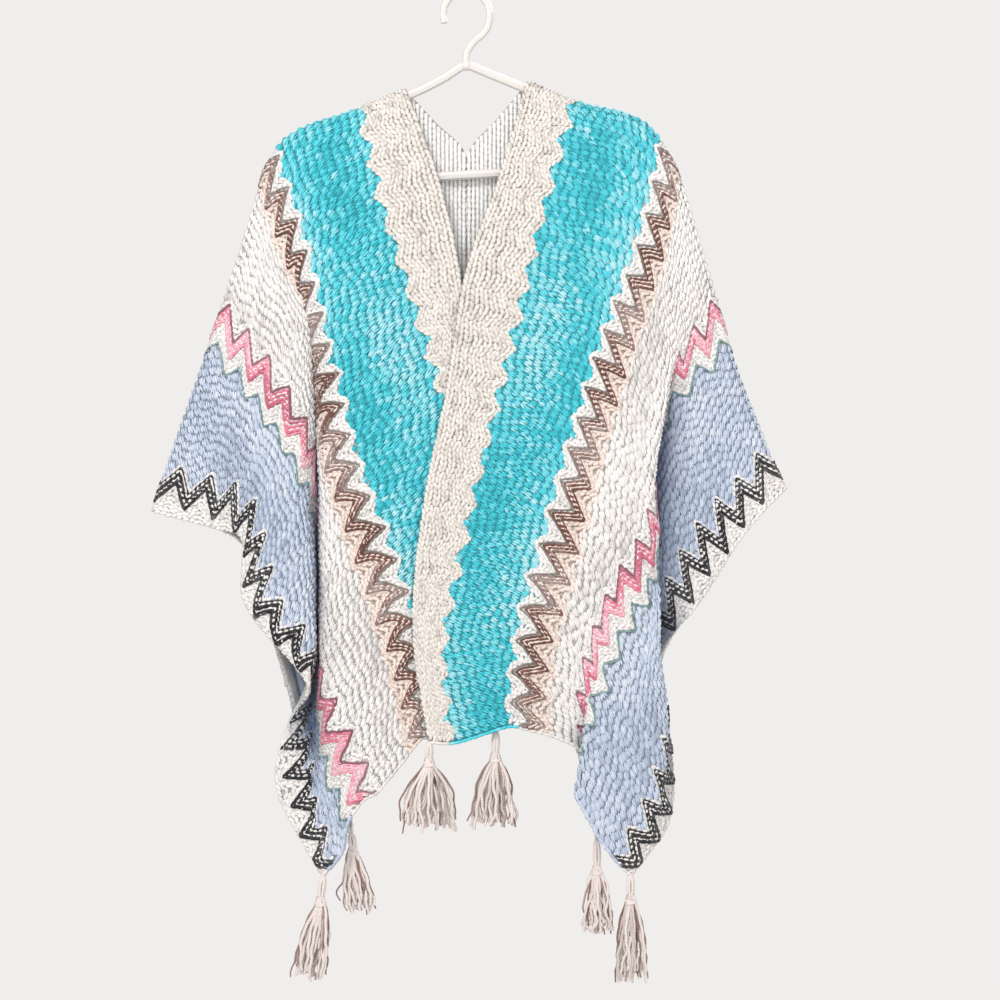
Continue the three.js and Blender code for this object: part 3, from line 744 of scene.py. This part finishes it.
def ground_material(name, yarns, painted_gap_shade):
    """The knitted ground between the bobbles: the same yarns in their stripes, in ribs of flat stitches.

    Each stripe's edge runs in a slight zigzag, and dim is how dark the ground is painted between its
    stitches, as painted shade in the gaps."""
    material, tree = new_material(name)
    uv = node(tree, "TexCoord")
    split = node(tree, "SeparateXYZ", {}, {"Vector": uv.outputs["UV"]})
    zig = node(tree, "Math", {"operation": "PINGPONG", 1: 0.019}, {0: split.outputs["Y"]})
    shifted = node(
        tree,
        "Math",
        {"operation": "MULTIPLY_ADD", 1: 0.5},
        {0: zig.outputs[0], 2: split.outputs["X"]},
    )
    share = node(
        tree,
        "Math",
        {"operation": "MULTIPLY_ADD", 1: 1 / (PANEL_WIDTH * MM), 2: -0.0045 / (PANEL_WIDTH * MM)},
        {0: shifted.outputs[0]},
    )
    ramp = node(tree, "ValToRGB", {}, {"Fac": share.outputs[0]})
    ramp.color_ramp.interpolation = "CONSTANT"
    stops = ramp.color_ramp.elements
    stops.remove(stops[1])
    for k, (start, yarn) in enumerate(GROUND):
        stop = stops[0] if k == 0 else stops.new(start / PANEL_WIDTH)
        stop.color = (*(c * painted_gap_shade for c in getattr(yarns, yarn)), 1)
    ribs = node(
        tree,
        "TexWave",
        {"wave_type": "BANDS", "bands_direction": "X", "Scale": band_scale(6.0), "Distortion": 0.0},
        {"Vector": uv.outputs["UV"]},
    )
    rows = node(
        tree,
        "TexWave",
        {"wave_type": "BANDS", "bands_direction": "Y", "Scale": band_scale(3.4), "Distortion": 0.0},
        {"Vector": uv.outputs["UV"]},
    )
    height = node(
        tree,
        "Math",
        {"operation": "MULTIPLY_ADD", 1: 0.5},
        {0: rows.outputs["Fac"], 2: ribs.outputs["Fac"]},
    )
    # Painted shade: the colour is darker in the hollows between the ribs and rows, by the same height as the
    # bump
    painted_groove_shade = node(
        tree,
        "MapRange",
        {"From Min": 0.15, "From Max": 1.1, "To Min": 0.62, "To Max": 1.0},
        {"Value": height.outputs[0]},
    )
    tinted = node(
        tree,
        "VectorMath",
        {"operation": "SCALE"},
        {"Vector": ramp.outputs["Color"], "Scale": painted_groove_shade.outputs[0]},
    )
    surface = node(
        tree,
        "BsdfPrincipled",
        {"Roughness": 0.95, "IOR": 1.46, "Sheen Weight": 0.2, "Sheen Roughness": 0.5},
        {"Base Color": paint_fold_shade(tree, tinted.outputs[0])},
    )
    close_material(tree, surface, height.outputs[0], 0.8, 0.0012)
    return material


def add_ground(name, cloth, settings, yarns):
    """The panel's thin shell, closed at its edges. Its UV map is u and the distance along the cloth."""
    us = np.linspace(0, PANEL_WIDTH, GROUND_COLUMNS)
    half = np.concatenate([FOLD_ROWS, np.linspace(34, HALF_LENGTH, GROUND_ROWS)])
    vs = np.concatenate([-half[:0:-1], half])
    u, v = np.meshgrid(us, vs)
    thick = settings.shell / MM / 2
    outer = cloth.place(u, v, np.full(u.shape, thick - 0.6))
    inner = cloth.place(u, v, np.full(u.shape, -thick - 0.1))
    rows, columns = u.shape
    points = np.concatenate([outer.reshape(-1, 3), inner.reshape(-1, 3)])
    r, c = np.meshgrid(np.arange(rows - 1), np.arange(columns - 1), indexing="ij")
    a = (r * columns + c).ravel()
    sheet = np.stack([a, a + 1, a + 1 + columns, a + columns], axis=1)
    layer = rows * columns
    edges = [
        np.arange(columns),
        (rows - 1) * columns + np.arange(columns)[::-1],
        np.arange(rows)[::-1] * columns,
        np.arange(rows) * columns + columns - 1,
    ]
    rims = [np.stack([e[1:], e[:-1], e[:-1] + layer, e[1:] + layer], axis=1) for e in edges]
    faces = np.concatenate([sheet, sheet[:, ::-1] + layer, *rims])
    if cloth.sign > 0:
        faces = faces[:, ::-1]
    outside = ground_material(f"acrylic_knit_ground_{name}", yarns, OUTER_PAINTED_GAP_SHADE)
    # Painted fold shade, on the outer face only
    folds = np.tile(cloth.look_up(cloth.depth, u.ravel(), v.ravel())[:, 0], 2)
    folds[len(folds) // 2 :] = 0
    obj = new_object(f"{name}_ground", points, faces, outside, folds=folds)
    obj.data.materials.append(ground_material(f"acrylic_knit_inside_{name}", yarns, INNER_PAINTED_GAP_SHADE))
    obj.data.polygons.foreach_set(
        "material_index", np.repeat([0, 1], [len(sheet), len(faces) - len(sheet)]).astype(np.int32)
    )
    layer_uv = obj.data.uv_layers.new(name="cut")
    run = cloth.look_up(cloth.runs, u.ravel(), v.ravel())[:, 0]
    run -= cloth.look_up(cloth.runs, u.ravel(), 0 * u.ravel())[:, 0]
    measures = np.stack([u.ravel(), run + 2 * HALF_LENGTH], axis=1) * MM
    measures = np.concatenate([measures, measures])
    layer_uv.data.foreach_set("uv", measures[faces.ravel()].astype(np.float32).ravel())
    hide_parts(name)
    return obj


def bobble_places(cloth, low, high, wale, course):
    """The u and v of bobbles in staggered rows, evenly spread between two lines of zigzags."""
    vs = np.linspace(-HALF_LENGTH + 2, HALF_LENGTH - 2, 2000)
    start = cloth.strand_at(low, max(low[4]), vs)[0] + max(low[4])[3] + 1
    stop = cloth.strand_at(high, min(high[4]), vs)[0] - min(high[4])[3] - 1
    run = cloth.run((low[1] + high[1]) / 2, vs)
    us, places = [], []
    for row, at in enumerate(np.arange(course / 2, run[-1], course)):
        v = np.interp(at, run, vs)
        row_us = np.linspace(np.interp(v, vs, start), np.interp(v, vs, stop), ROW_SAMPLES)
        points = cloth.look_up(cloth.grid, row_us, np.full(ROW_SAMPLES, v))
        length = run_of(points)
        odd = row % 2
        count = int(length[-1] / wale + 0.5 * odd)
        if count < 1:
            continue
        steps = (np.arange(count) + 0.5) / count
        if odd:
            steps = np.concatenate([steps - 0.5 / count, [1.0]])
        us.append(np.interp(steps * length[-1], length, row_us))
        places.append(np.full(len(steps), v))
    return np.concatenate(us), np.concatenate(places)


def add_bobbles(name, cloth, settings, yarns, chance):
    """Puffs of three loops of yarn that all lean one way, one mesh for each wide stripe."""
    wale, course = settings.wale / MM, settings.course / MM
    yarn_radius, yarn_swell = settings.yarn / MM, settings.swell / MM
    t = np.linspace(-0.5, 0.5, LOOP_RINGS)
    hump = np.cos(math.pi * t)
    for number, (yarn, before, after) in enumerate(BOBBLE_STRIPES):
        u, v = bobble_places(cloth, LINES[before], LINES[after], wale, course)
        count = len(u)
        place, along_u, along_v, out = cloth.frame_at(u, v)
        place = place + along_u * chance.normal(0, 0.35, (count, 1))
        place = place + along_v * chance.normal(0, 0.3, (count, 1))
        drift = 0.12 * np.sin(u / 31 + v / 57) + 0.1 * np.sin(u / 17 - v / 83)
        puff_tone = 0.5 + drift + chance.normal(0, 0.08, count)
        # How much painted fold shade each bobble gets
        folds = cloth.look_up(cloth.depth, u, v)[:, 0]
        ups = np.repeat(out[:, None], LOOP_RINGS, axis=1)
        parts = []
        for aside, share, rise in LOOPS:
            lean = LEAN + chance.normal(0, 0.13, (count, 1))
            length = wale * 0.92 * share * (1 + chance.normal(0, 0.07, (count, 1)))
            swell = yarn_swell * rise * (1 + chance.normal(0, 0.12, (count, 1)))
            a = length * t * np.cos(lean) - aside * np.sin(lean)
            b = length * t * np.sin(lean) + aside * np.cos(lean)
            h = 0.6 + swell * hump
            centres = place[:, None] + sum(
                x[..., None] * d[:, None] for x, d in ((a, along_u), (b, along_v), (h, out))
            )
            radius = yarn_radius * (0.62 + 0.38 * hump) * (1 + chance.normal(0, 0.07, (count, 1)))
            points, faces = yarn_tubes(centres, ups, radius, LOOP_SIDES)
            # The same sides of every loop are lighter and darker: painted highlight and painted shade,
            # together with the pale ply
            tone = (puff_tone + chance.normal(0, 0.12, count))[:, None, None] + PLY_AND_SIDE_LIGHT_TONES + 0 * h[..., None]
            deep = np.repeat(folds, LOOP_RINGS * LOOP_SIDES)
            parts.append((points, faces, np.clip(tone, 0, 1).ravel(), deep))
        material = yarn_material(f"brushed_acrylic_{yarn}_{number}_{name}", yarn, yarns, 0.62, 0.55)
        join_parts(f"{name}_bobbles_{number}_{yarn}", parts, material)


def add_lines(name, cloth, yarns, chance):
    """Strands of yarn, each a chain of short stitches laid in a zigzag down the whole panel, side by side."""
    vs = np.linspace(-HALF_LENGTH + 2, HALF_LENGTH - 2, 3000)
    for line in LINES:
        made = {}
        for number, (offset, share, yarn, radius, drift) in enumerate(line[4]):
            u, scale = cloth.strand_at(line, (offset, share), vs)
            path = cloth.look_up(cloth.grid, u, vs)
            out = unit(cloth.look_up(cloth.out, u, vs))
            length = run_of(path)
            plain = yarn not in DARK_YARNS and radius > 1.5
            t = np.linspace(0, 1, 3 if plain else 4)
            arch = np.sin(math.pi * t)
            count = int(length[-1] / STITCH)
            along = np.arange(count)[:, None] * STITCH + STITCH * (1.16 * t - 0.08)
            centres, ups = (along_path(x, length, along) for x in (path, out))
            height = 0.9 + 0.8 * arch if plain else 2.5 + 0.9 * arch
            sideways = unit(np.cross(np.gradient(centres, axis=1), ups))
            turn = (1.25 if number % 2 else -1.25) * (t - 0.5) * 2 * plain
            centres = centres + ups * height[:, None] + sideways * turn[:, None]
            centres += chance.normal(0, 0.3 if plain else 0.14, (count, 1, 3))
            middle = along[:, len(t) // 2]
            wide = 1.0
            if fills(line, offset):
                wide = np.interp(middle, length, np.clip(scale, 0.85, 1.4))[:, None]
            points, faces = yarn_tubes(centres, ups, wide * radius * (0.74 + 0.4 * arch), 3)
            # How much painted fold shade each stitch gets
            folds = np.interp(middle, length, cloth.look_up(cloth.depth, u, vs)[:, 0])
            slow = np.sin(np.arange(count) * STITCH / 47 + offset / 9) * 0.5
            tone = np.clip(0.5 + drift * slow + chance.normal(0, 0.13, count), 0, 1)
            part = (points, faces, np.repeat(tone, len(t) * 3), np.repeat(folds, len(t) * 3))
            made.setdefault(yarn, []).append(part)
        for yarn, parts in made.items():
            light = LINE_LIGHTS.get(yarn, 0.45)
            material = yarn_material(f"spun_acrylic_{yarn}_{line[0]}_{name}", yarn, yarns, 0.62, light)
            join_parts(f"{name}_{line[0]}_{yarn}", parts, material)


def chain(cloth, u, v, height, radius, chance, mean=0.5):
    """One row of chain stitches along any path of u and v on the cloth."""
    path = cloth.look_up(cloth.grid, u, v)
    out = unit(cloth.look_up(cloth.out, u, v))
    length = run_of(path)
    t = np.linspace(0, 1, 3)
    count = max(1, int(length[-1] / STITCH))
    along = (np.arange(count)[:, None] + 1.14 * t - 0.07) * length[-1] / count
    centres, ups = (along_path(x, length, along) for x in (path, out))
    arch = np.sin(math.pi * t)
    sign = np.sign(height)
    centres = centres + ups * (height + sign * 0.6 * arch)[:, None] + chance.normal(0, 0.15, (count, 1, 3))
    points, faces = yarn_tubes(centres, ups * sign, radius * (0.76 + 0.34 * arch), 3)
    tone = np.clip(chance.normal(mean, 0.13, count), 0, 1)
    return points, faces, np.repeat(tone, len(t) * 3), np.zeros(len(points))


def join_parts(name, parts, material):
    """One mesh of parts, each its points, its faces, its tones and its depths in the folds for painted shade.
    """
    sizes = np.cumsum([0] + [len(part[0]) for part in parts])
    points, tones, folds = (np.concatenate([part[k] for part in parts]) for k in (0, 2, 3))
    faces = np.concatenate([part[1] + start for part, start in zip(parts, sizes)])
    return new_object(name, points, faces, material, tones, folds)


def add_finishing(name, cloth, yarns, chance):
    """The cast-off row of each hem in the stripes' own yarns, and the ribs inside the back."""
    made = {}
    starts = [start for start, _ in GROUND] + [PANEL_WIDTH - 1]
    for (start, yarn), stop in zip(GROUND, starts[1:]):
        for v in (-HALF_LENGTH + 1, HALF_LENGTH - 1):
            for height in (1.2, -1.2):
                u = np.linspace(start + 1, stop, 60)
                made.setdefault(yarn, []).append(chain(cloth, u, np.full(60, v), height, 2.0, chance))
    for yarn, parts in made.items():
        material = yarn_material(f"cast_off_acrylic_{yarn}_{name}", yarn, yarns, 0.6, 0.3)
        join_parts(f"{name}_hem_{yarn}", parts, material)
    # The ribs inside the back, with painted light: their tone (0.95) and their material's palest tone (1.0)
    # make them nearly white, paler than the cream yarn elsewhere, to brighten the shaded inside of the back
    columns = np.flatnonzero(cloth.vs < -14)[::-1]
    ribs = []
    for x in np.arange(*RIBS):
        reached = [j for j in columns if abs(cloth.grid[0, j, 0]) < x - 0.4]
        if len(reached) > 8:
            u = np.array([np.interp(x, np.abs(cloth.grid[:90, j, 0]), cloth.us[:90]) for j in reached])
            ribs.append(chain(cloth, u, cloth.vs[reached], -2.0, 2.4, chance, 0.95))
    material = yarn_material(f"ribbed_acrylic_cream_{name}", "cream", yarns, 0.75, 1.0)
    join_parts(f"{name}_ribs_inside", ribs, material)


def evenly_toned(tubes, tone):
    """Tubes as a part of one tone, or of one for each point, that lies in no fold and gets no painted fold
    shade.
    """
    points, faces = tubes
    return points, faces, np.broadcast_to(tone, len(points)), np.zeros(len(points))


def tassel_strands(knot, lean, length, spread, chance):
    """The loose ends below a tassel's knot, which flare and curl a little."""
    count, rings, sides = TASSEL_STRANDS, TASSEL_RINGS, TASSEL_SIDES
    share = np.linspace(0, 1, rings)
    turn = np.arange(count) * math.pi * (3 - math.sqrt(5))
    reach = np.sqrt((np.arange(count) + 0.5) / count)
    foot = length * (1 - 0.2 * chance.random(count))
    down = -1 + (foot[:, None] + 1) * share
    below = np.maximum(down - WRAPPED, 0)
    flare = 1 - np.exp(-below / (0.3 * length))
    wide = (3.6 + 2.4 * np.minimum(down / WRAPPED, 1) + 1.04 * spread * flare) * reach[:, None]
    phase = 2 * math.pi * chance.random((4, count, 1))
    slow = [np.sin(share * math.pi * 2.4 + phase[k]) for k in (0, 1)]
    quick = [np.sin(share * foot[:, None] / 3.1 + phase[k]) for k in (2, 3)]
    curl = [a * chance.normal(0, 1, (count, 1)) + b * 0.32 for a, b in zip(slow, quick)]
    x = wide * np.cos(turn)[:, None] + 3.0 * curl[0] * share**0.8 + lean * 0.85 * below / length
    y = 0.62 * wide * np.sin(turn)[:, None] + 2.2 * curl[1] * share**0.8
    centres = knot + np.stack([x, y, -down], axis=-1)
    ups = np.broadcast_to([0.0, -1.0, 0.0], centres.shape)
    radius = chance.uniform(1.6, 2.15, (count, 1)) * (1 - 0.2 * share**3)
    radius[list(BROWN_STRANDS)] *= 0.55
    # Painted shade inside the tassel: the inner strands are toned darker than the outer ones, on top of a
    # random tone for each strand
    tones = np.repeat(np.clip(chance.normal(0.2, 0.16, count) + 0.36 * reach, 0, 1), rings * sides)
    return evenly_toned(yarn_tubes(centres, ups, radius, sides), tones)


def tassel_tie(knot, corner, loop):
    """The turns of yarn that tie a tassel, and the loops that go up through its corner."""
    parts = []
    angle = np.linspace(0, 2 * math.pi, TURN_SAMPLES)
    for at, wrap, thick, tilt in TASSEL_WRAPS:
        tall = tilt * np.sin(angle + at) - at
        ring = np.stack([wrap * np.cos(angle), 0.85 * wrap * np.sin(angle), tall], -1)
        ups = np.broadcast_to([0.0, 0.0, 1.0], ring[None].shape)
        parts.append(evenly_toned(yarn_tubes((knot + ring)[None], ups, thick, 5), 0.6))
    rise = (1 - np.cos(angle)) / 2
    for turn_by, half in TASSEL_LOOPS:
        along, aside = math.cos(turn_by), math.sin(turn_by)
        swing = half * np.sin(angle)
        ring = np.stack([swing * along, swing * aside, (loop + 2.5) * rise - 1.5], -1)
        ups = np.broadcast_to([-aside, along, 0.0], ring[None].shape)
        middle = knot + (corner - knot) * (1, 1, 0) * rise[:, None]
        parts.append(evenly_toned(yarn_tubes((middle + ring)[None], ups, 1.5, 5), 0.55))
    return parts


def add_tassel(tassel, yarns, chance):
    """A tassel: loops of yarn drawn through the corner and tied, then loose ends, a few of them brown."""
    name, panel, u, side, loop, lean, length, spread = tassel
    line = next(places for at, places in panel[side] if at == u)
    corner = np.array(line[-1]) * (1, 1, -1) - (0, 0, TASSEL_GAP)
    knot = corner - (-lean * 0.15, 0, loop)
    parts = [tassel_strands(knot, lean, length, spread, chance), *tassel_tie(knot, corner, loop)]
    material = yarn_material(f"twisted_acrylic_{name}", "tassel", yarns, 0.6, 0.12)
    obj = join_parts(f"{name}_yarn", parts, material)
    obj.data.materials.append(yarn_material(f"twisted_acrylic_brown_{name}", "rust", yarns, 0.7, 0.3))
    brown = np.zeros(len(obj.data.polygons), np.int32)
    per_strand = (TASSEL_RINGS - 1) * TASSEL_SIDES
    for k in BROWN_STRANDS:
        brown[k * per_strand : (k + 1) * per_strand] = 1
    obj.data.polygons.foreach_set("material_index", brown)
    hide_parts(name)


class PONCHO_OT_knit_ground(bpy.types.Operator):
    """Knit the thin shell of both panels"""

    bl_idname = "poncho.knit_ground"
    bl_label = "Knit the ground"

    def execute(self, context):
        for name, cloth in CLOTHS.items():
            add_ground(name, cloth, context.scene.poncho_knit, context.scene.poncho_yarns)
        return {"FINISHED"}


class PONCHO_OT_work_bobbles(bpy.types.Operator):
    """Work the bobble stitches of the wide stripes"""

    bl_idname = "poncho.work_bobbles"
    bl_label = "Work the bobbles"

    def execute(self, context):
        chance = np.random.default_rng(11)
        for name, cloth in CLOTHS.items():
            add_bobbles(name, cloth, context.scene.poncho_knit, context.scene.poncho_yarns, chance)
        return {"FINISHED"}


class PONCHO_OT_work_lines(bpy.types.Operator):
    """Work the front bands, the zigzags and the outer edges in chain stitches"""

    bl_idname = "poncho.work_lines"
    bl_label = "Work the lines"

    def execute(self, context):
        chance = np.random.default_rng(13)
        for name, cloth in CLOTHS.items():
            add_lines(name, cloth, context.scene.poncho_yarns, chance)
            add_finishing(name, cloth, context.scene.poncho_yarns, chance)
        return {"FINISHED"}


class PONCHO_OT_tie_tassels(bpy.types.Operator):
    """Tie a tassel to each free corner"""

    bl_idname = "poncho.tie_tassels"
    bl_label = "Tie the tassels"

    def execute(self, context):
        chance = np.random.default_rng(14)
        for tassel in TASSELS:
            add_tassel(tassel, context.scene.poncho_yarns, chance)
        return {"FINISHED"}


class PONCHO_OT_finish_hanger(bpy.types.Operator):
    """Give the hanger its moulded plastic"""

    bl_idname = "poncho.finish_hanger"
    bl_label = "Finish the hanger"

    def execute(self, context):
        # Smooth moulded plastic with a very fine grain
        material, tree = new_material("white_moulded_plastic")
        place = node(tree, "TexCoord")
        grain = node(tree, "TexNoise", {"Scale": 260.0}, {"Vector": place.outputs["Object"]})
        surface = node(
            tree, "BsdfPrincipled", {"Base Color": (*linear("#e4dfda"), 1), "Roughness": 0.32}
        )
        close_material(tree, surface, grain.outputs["Fac"], 0.05, 0.0002)
        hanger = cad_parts["hanger"]
        hanger.data.materials.clear()
        hanger.data.materials.append(material)
        return {"FINISHED"}


class PONCHO_OT_set_stage(bpy.types.Operator):
    """Set the floor, the soft lights and the camera"""

    bl_idname = "poncho.set_stage"
    bl_label = "Set the stage"

    def execute(self, context):
        scene = context.scene
        settings = scene.poncho_stage
        lowest = CAD_BOX[0][2]
        bpy.ops.mesh.primitive_circle_add(
            vertices=96, radius=settings.floor_radius, fill_type="NGON", location=(0, 0, lowest - FLOOR_BELOW)
        )
        floor = context.object
        floor.name = "floor"
        # Matt paint on a level floor
        material, tree = new_material("pale_painted_floor")
        place = node(tree, "TexCoord")
        grain = node(tree, "TexNoise", {"Scale": 60.0}, {"Vector": place.outputs["Object"]})
        surface = node(
            tree, "BsdfPrincipled", {"Base Color": (*linear("#d9d7d4"), 1), "Roughness": 0.8}
        )
        close_material(tree, surface, grain.outputs["Fac"], 0.05, 0.001)
        floor.data.materials.append(material)

        world = bpy.data.worlds.new("studio")
        scene.world = world
        world.use_nodes = True
        tree = world.node_tree
        tree.nodes.clear()
        backdrop = node(tree, "Background", {"Color": (*linear("#f0eeec"), 1), "Strength": 1.0})
        glow = node(tree, "Background", {"Color": (*linear("#fbfaf8"), 1), "Strength": 0.62})
        seen = node(tree, "LightPath")
        mixed = node(
            tree,
            "MixShader",
            {},
            {0: seen.outputs["Is Camera Ray"], 1: glow.outputs[0], 2: backdrop.outputs[0]},
        )
        node(tree, "OutputWorld", {}, {"Surface": mixed.outputs[0]})

        for label, place, energy, size in LAMPS:
            light = bpy.data.lights.new(label, "AREA")
            light.energy = energy
            light.size = size
            lamp = bpy.data.objects.new(label, light)
            scene.collection.objects.link(lamp)
            lamp.location = place
            aim = Vector(LAMPS_AIM) - Vector(place)
            lamp.rotation_euler = aim.to_track_quat("-Z", "Y").to_euler()

        camera = bpy.data.cameras.new("camera")
        camera.sensor_width = 36
        camera.lens = 36 * settings.distance / settings.view_width
        eye = bpy.data.objects.new("camera", camera)
        scene.collection.objects.link(eye)
        eye.location = (CAMERA_X, -settings.distance - 0.02, CAMERA_Z)
        eye.rotation_euler = (math.pi / 2, 0, 0)
        scene.camera = eye
        scene.view_settings.view_transform = "Standard"
        return {"FINISHED"}


class PONCHO_PT_panel(bpy.types.Panel):
    bl_label = "Knitted poncho"
    bl_idname = "PONCHO_PT_panel"
    bl_space_type = "VIEW_3D"
    bl_region_type = "UI"
    bl_category = "Poncho"

    def draw(self, context):
        for operator in OPERATORS:
            self.layout.operator(operator.bl_idname)
        scene = context.scene
        for settings in (scene.poncho_yarns, scene.poncho_knit, scene.poncho_stage):
            for name in type(settings).__annotations__:
                self.layout.prop(settings, name)


OPERATORS = (
    PONCHO_OT_set_stage,
    PONCHO_OT_knit_ground,
    PONCHO_OT_work_bobbles,
    PONCHO_OT_work_lines,
    PONCHO_OT_tie_tassels,
    PONCHO_OT_finish_hanger,
)
CLASSES = (PonchoYarns, PonchoKnit, PonchoStage, *OPERATORS, PONCHO_PT_panel)


def register():
    for cls in CLASSES:
        bpy.utils.register_class(cls)
    bpy.types.Scene.poncho_yarns = PointerProperty(type=PonchoYarns)
    bpy.types.Scene.poncho_knit = PointerProperty(type=PonchoKnit)
    bpy.types.Scene.poncho_stage = PointerProperty(type=PonchoStage)


def unregister():
    del bpy.types.Scene.poncho_stage
    del bpy.types.Scene.poncho_knit
    del bpy.types.Scene.poncho_yarns
    for cls in reversed(CLASSES):
        bpy.utils.unregister_class(cls)


def main():
    register()
    bpy.ops.poncho.set_stage()
    bpy.ops.poncho.knit_ground()
    bpy.ops.poncho.work_bobbles()
    bpy.ops.poncho.work_lines()
    bpy.ops.poncho.tie_tassels()
    bpy.ops.poncho.finish_hanger()


if __name__ == "__main__":
    main()
